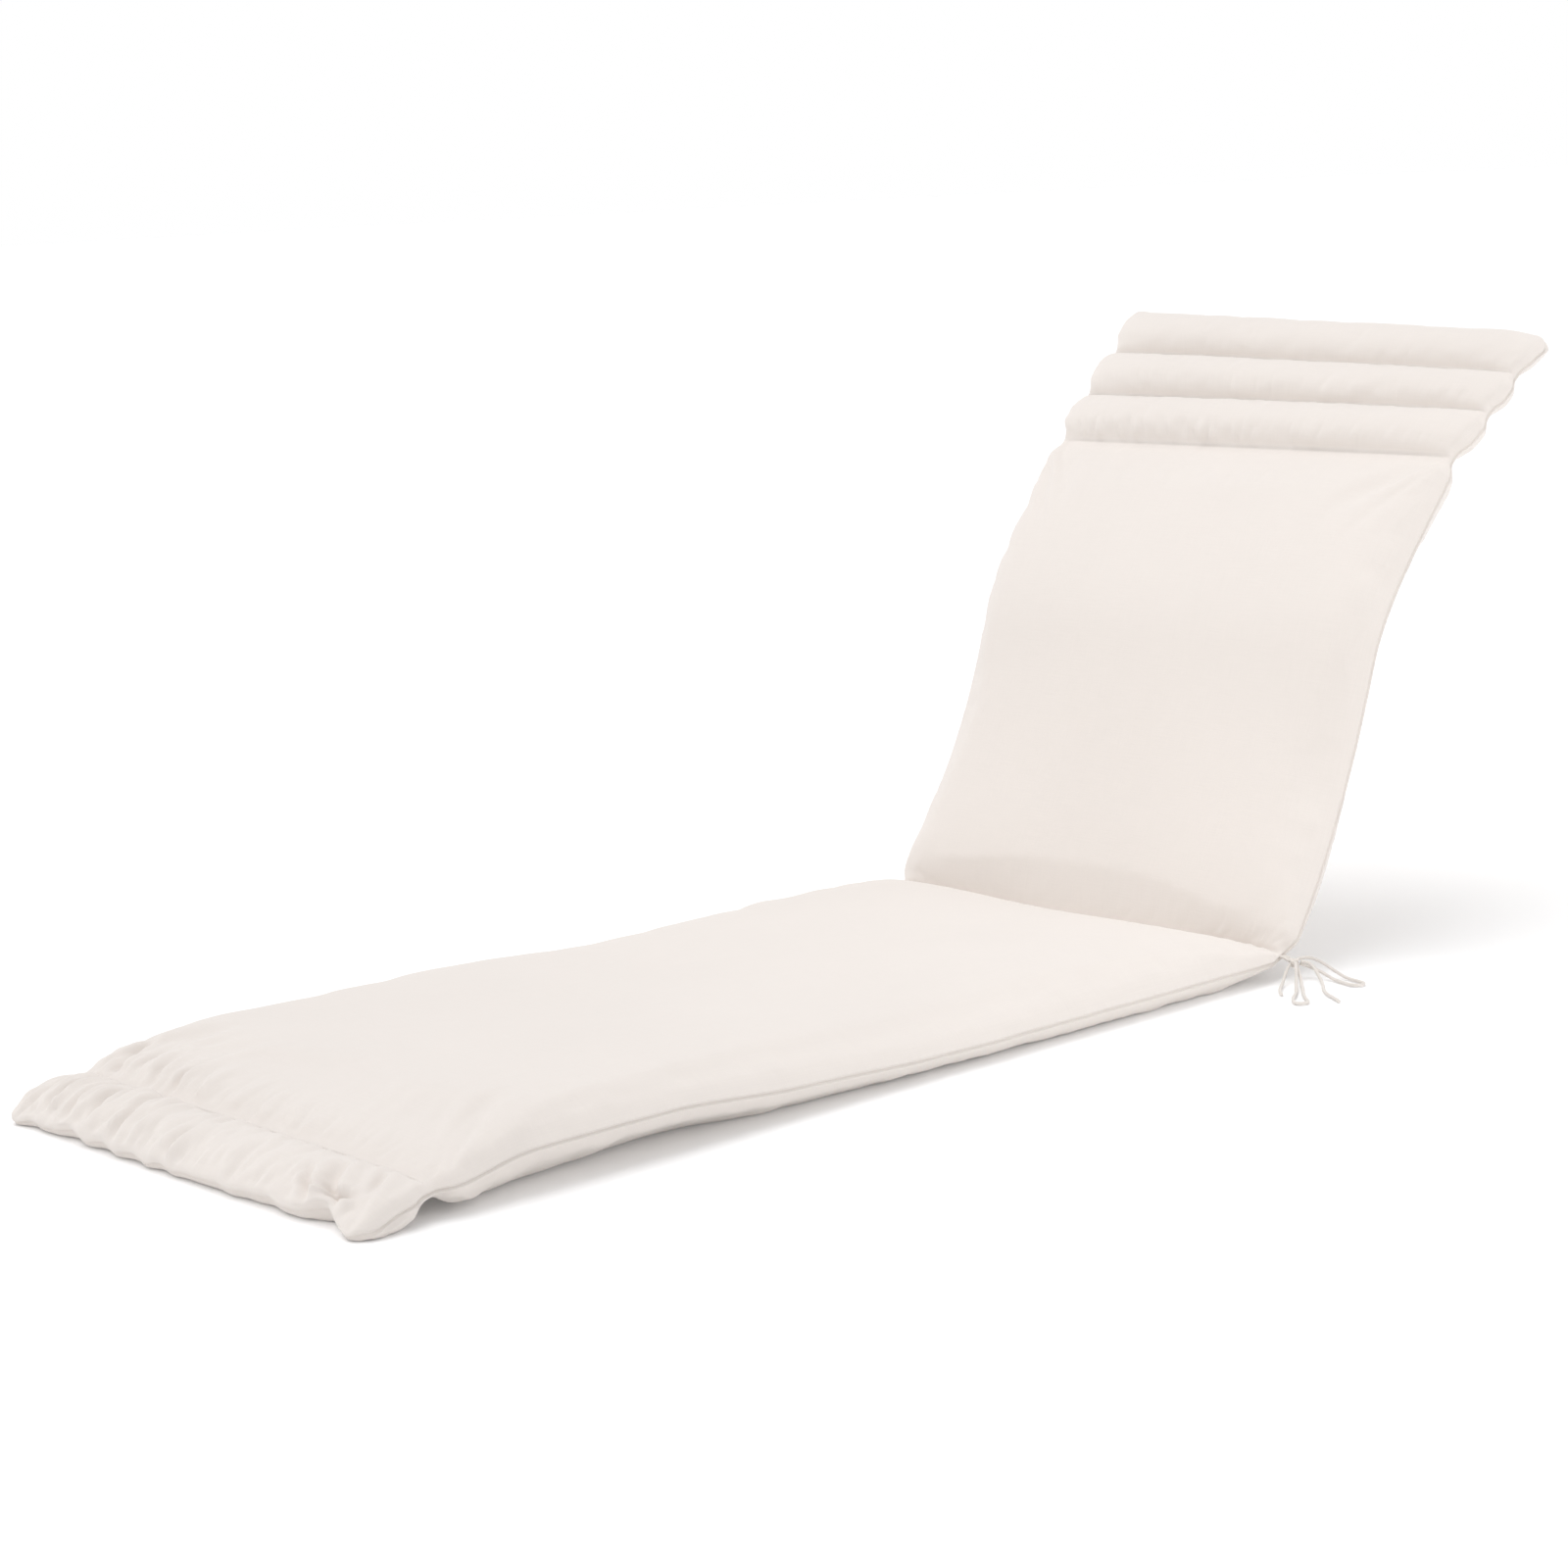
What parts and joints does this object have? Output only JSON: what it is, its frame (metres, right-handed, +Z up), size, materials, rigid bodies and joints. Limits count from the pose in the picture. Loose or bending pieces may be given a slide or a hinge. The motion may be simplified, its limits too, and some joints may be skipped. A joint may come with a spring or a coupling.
{
  "type": "sun lounger cushion",
  "caption": "Long filled lounger pad in pale cotton, bent up at its seat crease, with sewn head channels, a gathered foot channel and a cord tie at the crease.",
  "frame": {"origin": "on the floor, under the middle of the pad's box", "axes": "+X from the foot of the pad to its head, +Y across it away from the tie, +Z up"},
  "size_m": [1.6384, 0.7171, 0.661],
  "materials": {
    "cover_cloth": "matt plain-woven cotton in warm off-white",
    "tie_cord": "matt twisted cotton cord in off-white"
  },
  "bodies": {
    "root": {"pad": "cover_cloth", "tie_knot": "tie_cord", "tie_root_seat": "tie_cord", "tie_root_back": "tie_cord", "tie_loop_back": "tie_cord", "tie_loop_front": "tie_cord", "tie_end_long": "tie_cord", "tie_end_short": "tie_cord"}
  },
  "joints": []
}
